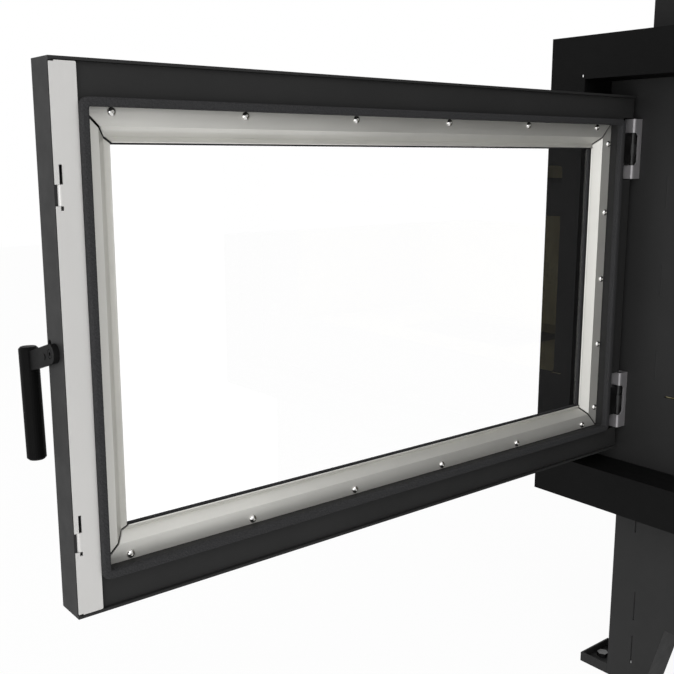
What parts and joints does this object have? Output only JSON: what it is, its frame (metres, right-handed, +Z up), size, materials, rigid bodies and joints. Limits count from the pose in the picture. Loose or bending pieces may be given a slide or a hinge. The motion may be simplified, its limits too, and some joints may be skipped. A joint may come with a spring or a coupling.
{
  "type": "fireplace insert",
  "caption": "Steel wood-burning insert on a pedestal: deep trim frame, lined firebox and a side-hinged glazed door with a lever lock.",
  "frame": {"origin": "middle of the footprint at rest, with the door standing open, on the floor", "axes": "+X to the right seen from the front, +Y into the insert, +Z up"},
  "size_m": [1.1694, 1.4414, 1.344],
  "materials": {
    "frame_black": "matt heat-resistant paint",
    "front_plate_paint": "matt heat-resistant paint",
    "firebox_steel": "matt heat-resistant paint",
    "lining_board": "pressed mineral board",
    "grate_iron": "as cast",
    "zinc_plate": "zinc plated",
    "lock_cover_zinc": "galvanised sheet",
    "body_grey": "matt heat-resistant paint",
    "hinge_steel": "zinc plated",
    "door_paint": "matt heat-resistant paint",
    "rope_fibre": "knitted glass-fibre rope",
    "door_glass": "clear ceramic glass",
    "strip_steel": "bright sheet",
    "handle_black": "matt black"
  },
  "bodies": {
    "insert": {"trim_frame": "frame_black", "front_plate": "front_plate_paint", "firebox_shell": "firebox_steel", "smoke_dome": "firebox_steel", "hearth_plate": "firebox_steel", "hearth_board": "lining_board", "fire_grate": "grate_iron", "ash_pan": "zinc_plate", "lining_left": "lining_board", "lining_right": "lining_board", "lining_back": "lining_board", "baffle_board": "lining_board", "flame_deflector": "firebox_steel", "flue_collar": "firebox_steel", "jacket_wrap": "body_grey", "jacket_front": "body_grey", "jacket_top": "body_grey", "pedestal_front": "body_grey", "pedestal_left": "body_grey", "pedestal_right": "body_grey", "pedestal_back": "body_grey", "pedestal_deck": "body_grey", "foot_front_left": "body_grey", "foot_back_left": "body_grey", "foot_front_right": "body_grey", "foot_back_right": "body_grey", "foot_bolt_front_left": "zinc_plate", "foot_bolt_back_left": "zinc_plate", "foot_bolt_front_right": "zinc_plate", "foot_bolt_back_right": "zinc_plate", "air_box": "firebox_steel", "air_spigot": "zinc_plate", "hinge_bracket_bottom": "hinge_steel", "hinge_pin_bottom": "hinge_steel", "keeper_bottom": "zinc_plate", "hinge_bracket_top": "hinge_steel", "hinge_pin_top": "hinge_steel", "keeper_top": "zinc_plate"},
    "door": {"door_shell": "door_paint", "door_inner_plate": "door_paint", "door_gasket": "rope_fibre", "door_glass": "door_glass", "glass_seal": "rope_fibre", "glass_strip_left": "strip_steel", "glass_strip_right": "strip_steel", "glass_strip_top": "strip_steel", "glass_strip_bottom": "strip_steel", "lock_cover": "lock_cover_zinc", "hinge_lug_bottom": "hinge_steel", "hinge_lug_top": "hinge_steel", "lock_guide_bottom": "zinc_plate", "lock_guide_top": "zinc_plate"},
    "handle": {"handle_arm": "handle_black", "handle_grip": "handle_black", "drive_pin": "hinge_steel", "pivot_screw": "hinge_steel"},
    "lock": {"lock_bar": "zinc_plate"},
    "air_control": {"air_slide": "hinge_steel", "air_knob": "handle_black"}
  },
  "joints": [
    {"name": "door_hinge", "type": "hinge", "parent": "insert", "child": "door", "pos_m": [-0.46875, 0.22887, 0.694], "axis": [0, 0, 1], "range_deg": [-10, 90]},
    {"name": "handle_turn", "type": "hinge", "parent": "door", "child": "handle", "pos_m": [-0.48375, -0.70713, 0.691], "axis": [0, 1, 0], "range_deg": [0, 50]},
    {"name": "lock_slide", "type": "slide", "parent": "door", "child": "lock", "axis": [0, 0, 1], "range_m": [0, 0.0134]},
    {"name": "air_slide", "type": "slide", "parent": "insert", "child": "air_control", "axis": [1, 0, 0], "range_m": [0, 0.044]}
  ],
  "couplings": [
    {"joint": "lock_slide", "follows": "handle_turn", "m_per_rad": 0.015202}
  ]
}
